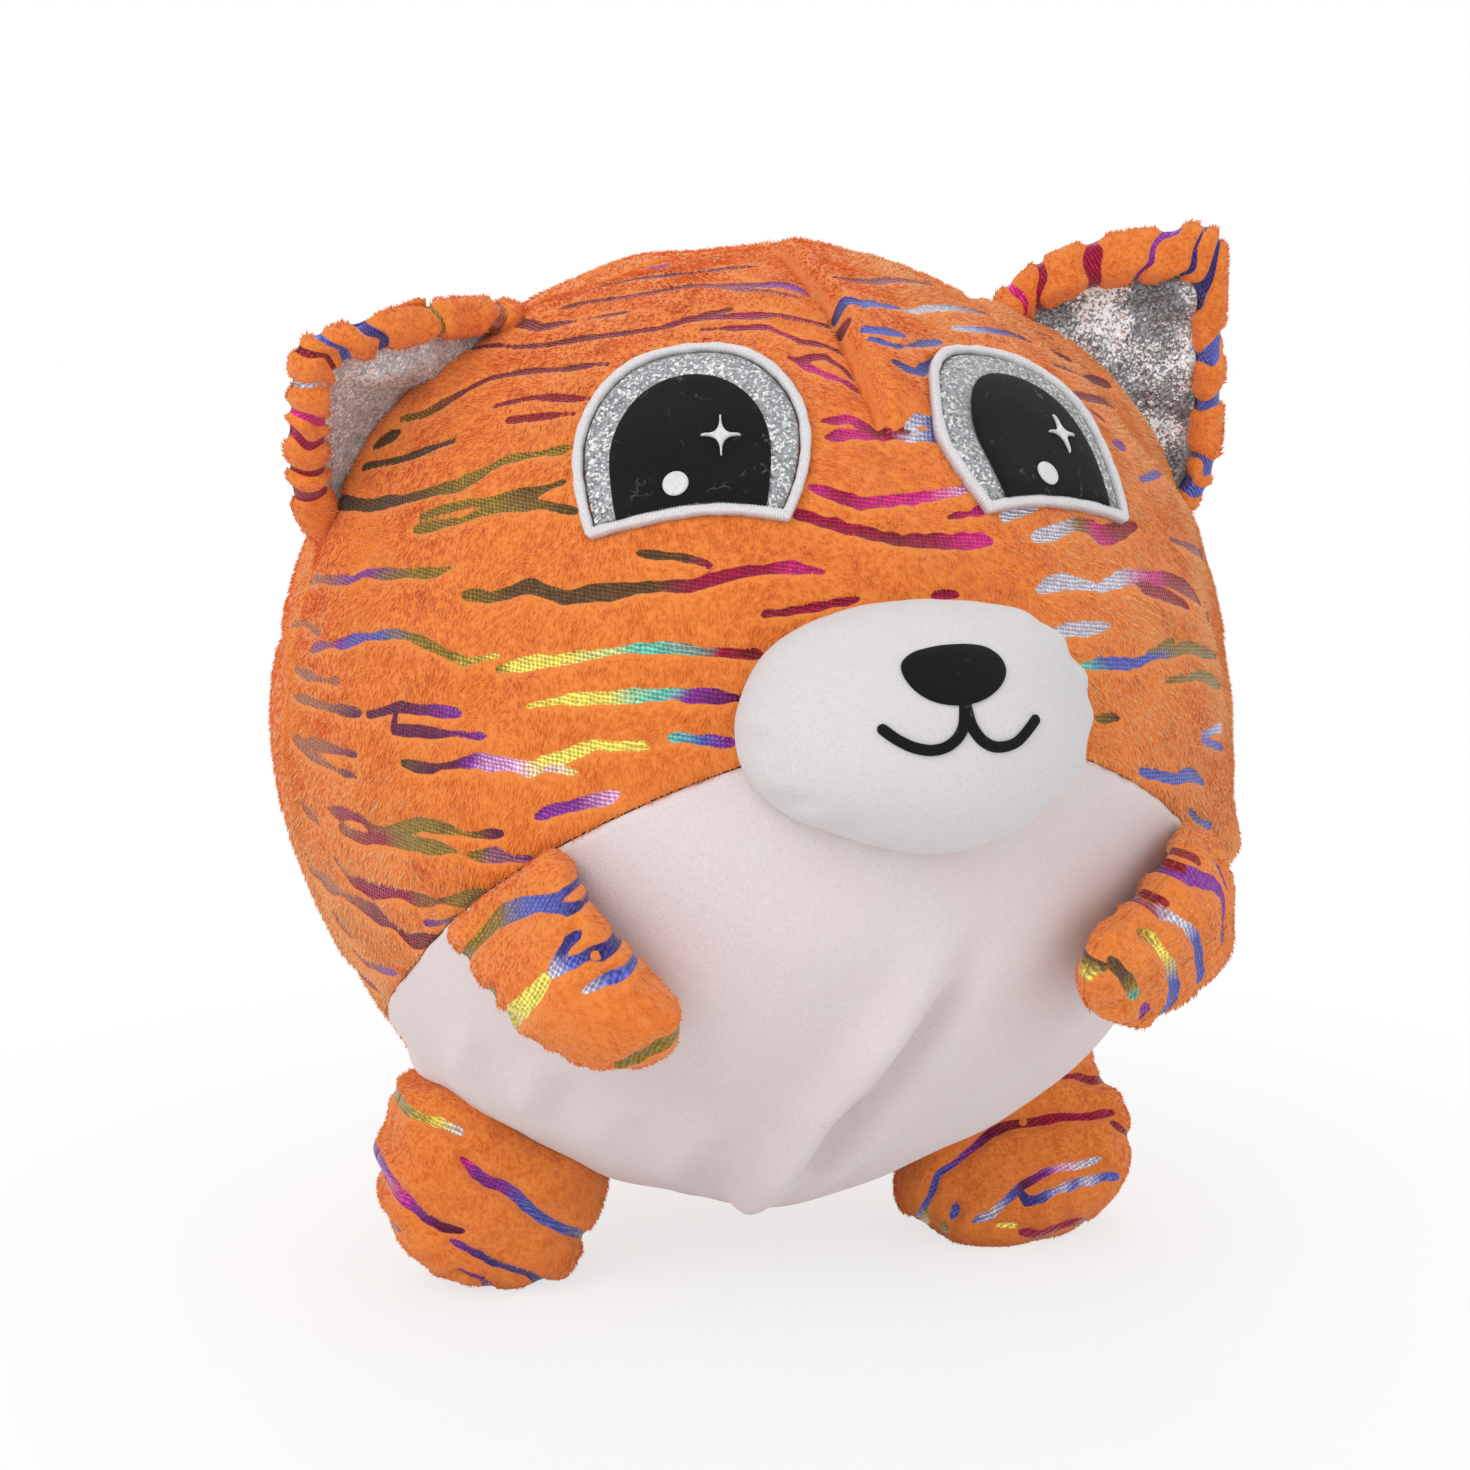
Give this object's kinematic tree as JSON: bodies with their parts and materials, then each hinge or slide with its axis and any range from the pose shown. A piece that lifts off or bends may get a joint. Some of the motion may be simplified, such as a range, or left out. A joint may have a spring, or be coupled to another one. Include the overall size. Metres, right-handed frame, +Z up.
{
  "type": "plush cat ball",
  "caption": "Round stuffed toy cat with a sewn face, padded muzzle, glitter-lined ears, short arms and feet, in striped plush with a pale belly.",
  "frame": {"origin": "middle of the bounding box in plan, on the plane of the soles", "axes": "+Z up, the face looks along -Y, +X is the viewer's right when facing the toy"},
  "size_m": [0.2252, 0.2488, 0.2428],
  "materials": {
    "orange_plush": "short orange pile with metallic foil stripes",
    "white_plush": "short white pile",
    "silver_glitter": "silver glitter cloth",
    "black_felt": "matt black flock",
    "white_thread": "white satin stitch",
    "fibre_stuffing": "loose white fibre"
  },
  "bodies": {
    "toy": {"ball_stuffing": "fibre_stuffing", "face_panel": "orange_plush", "belly_panel": "white_plush", "back_left_panel": "orange_plush", "back_right_panel": "orange_plush", "muzzle_cover": "white_plush", "muzzle_stuffing": "fibre_stuffing", "nose_patch": "black_felt", "mouth_embroidery": "black_felt", "left_eye_border": "white_thread", "left_eye_glitter": "silver_glitter", "left_eye_pupil": "black_felt", "left_eye_star": "white_thread", "left_eye_dot": "white_thread", "right_eye_border": "white_thread", "right_eye_glitter": "silver_glitter", "right_eye_pupil": "black_felt", "right_eye_star": "white_thread", "right_eye_dot": "white_thread"},
    "left_ear": {"left_ear_shell": "orange_plush", "left_ear_lining": "silver_glitter"},
    "left_arm": {"left_arm_outer": "orange_plush", "left_arm_inner": "orange_plush", "left_arm_stuffing": "fibre_stuffing"},
    "left_foot": {"left_foot_front": "orange_plush", "left_foot_back": "orange_plush", "left_foot_stuffing": "fibre_stuffing"},
    "right_ear": {"right_ear_shell": "orange_plush", "right_ear_lining": "silver_glitter"},
    "right_arm": {"right_arm_outer": "orange_plush", "right_arm_inner": "orange_plush", "right_arm_stuffing": "fibre_stuffing"},
    "right_foot": {"right_foot_front": "orange_plush", "right_foot_back": "orange_plush", "right_foot_stuffing": "fibre_stuffing"}
  },
  "joints": [
    {"name": "left_arm_swing", "type": "hinge", "parent": "toy", "child": "left_arm", "pos_m": [-0.07689, -0.06915, 0.11087], "axis": [-0.3599, 0.5152, -0.7779], "range_deg": [0, 60], "stiffness_Nm_per_rad": 0.006},
    {"name": "left_foot_swing", "type": "hinge", "parent": "toy", "child": "left_foot", "pos_m": [-0.05967, 0.00993, 0.03637], "axis": [-0.8406, 0, 0.5417], "range_deg": [-10, 10], "stiffness_Nm_per_rad": 0.8},
    {"name": "left_ear_fold", "type": "hinge", "parent": "toy", "child": "left_ear", "pos_m": [-0.08256, 0.00188, 0.20461], "axis": [0.6756, 0, 0.7373], "range_deg": [-20, 20], "stiffness_Nm_per_rad": 0.006},
    {"name": "right_arm_swing", "type": "hinge", "parent": "toy", "child": "right_arm", "pos_m": [0.07689, -0.06915, 0.11087], "axis": [-0.3599, -0.5152, 0.7779], "range_deg": [0, 60], "stiffness_Nm_per_rad": 0.006},
    {"name": "right_foot_swing", "type": "hinge", "parent": "toy", "child": "right_foot", "pos_m": [0.05967, 0.00993, 0.03637], "axis": [-0.8406, 0, -0.5417], "range_deg": [-10, 10], "stiffness_Nm_per_rad": 0.8},
    {"name": "right_ear_fold", "type": "hinge", "parent": "toy", "child": "right_ear", "pos_m": [0.08256, 0.00188, 0.20461], "axis": [0.6756, 0, -0.7373], "range_deg": [-20, 20], "stiffness_Nm_per_rad": 0.006}
  ]
}
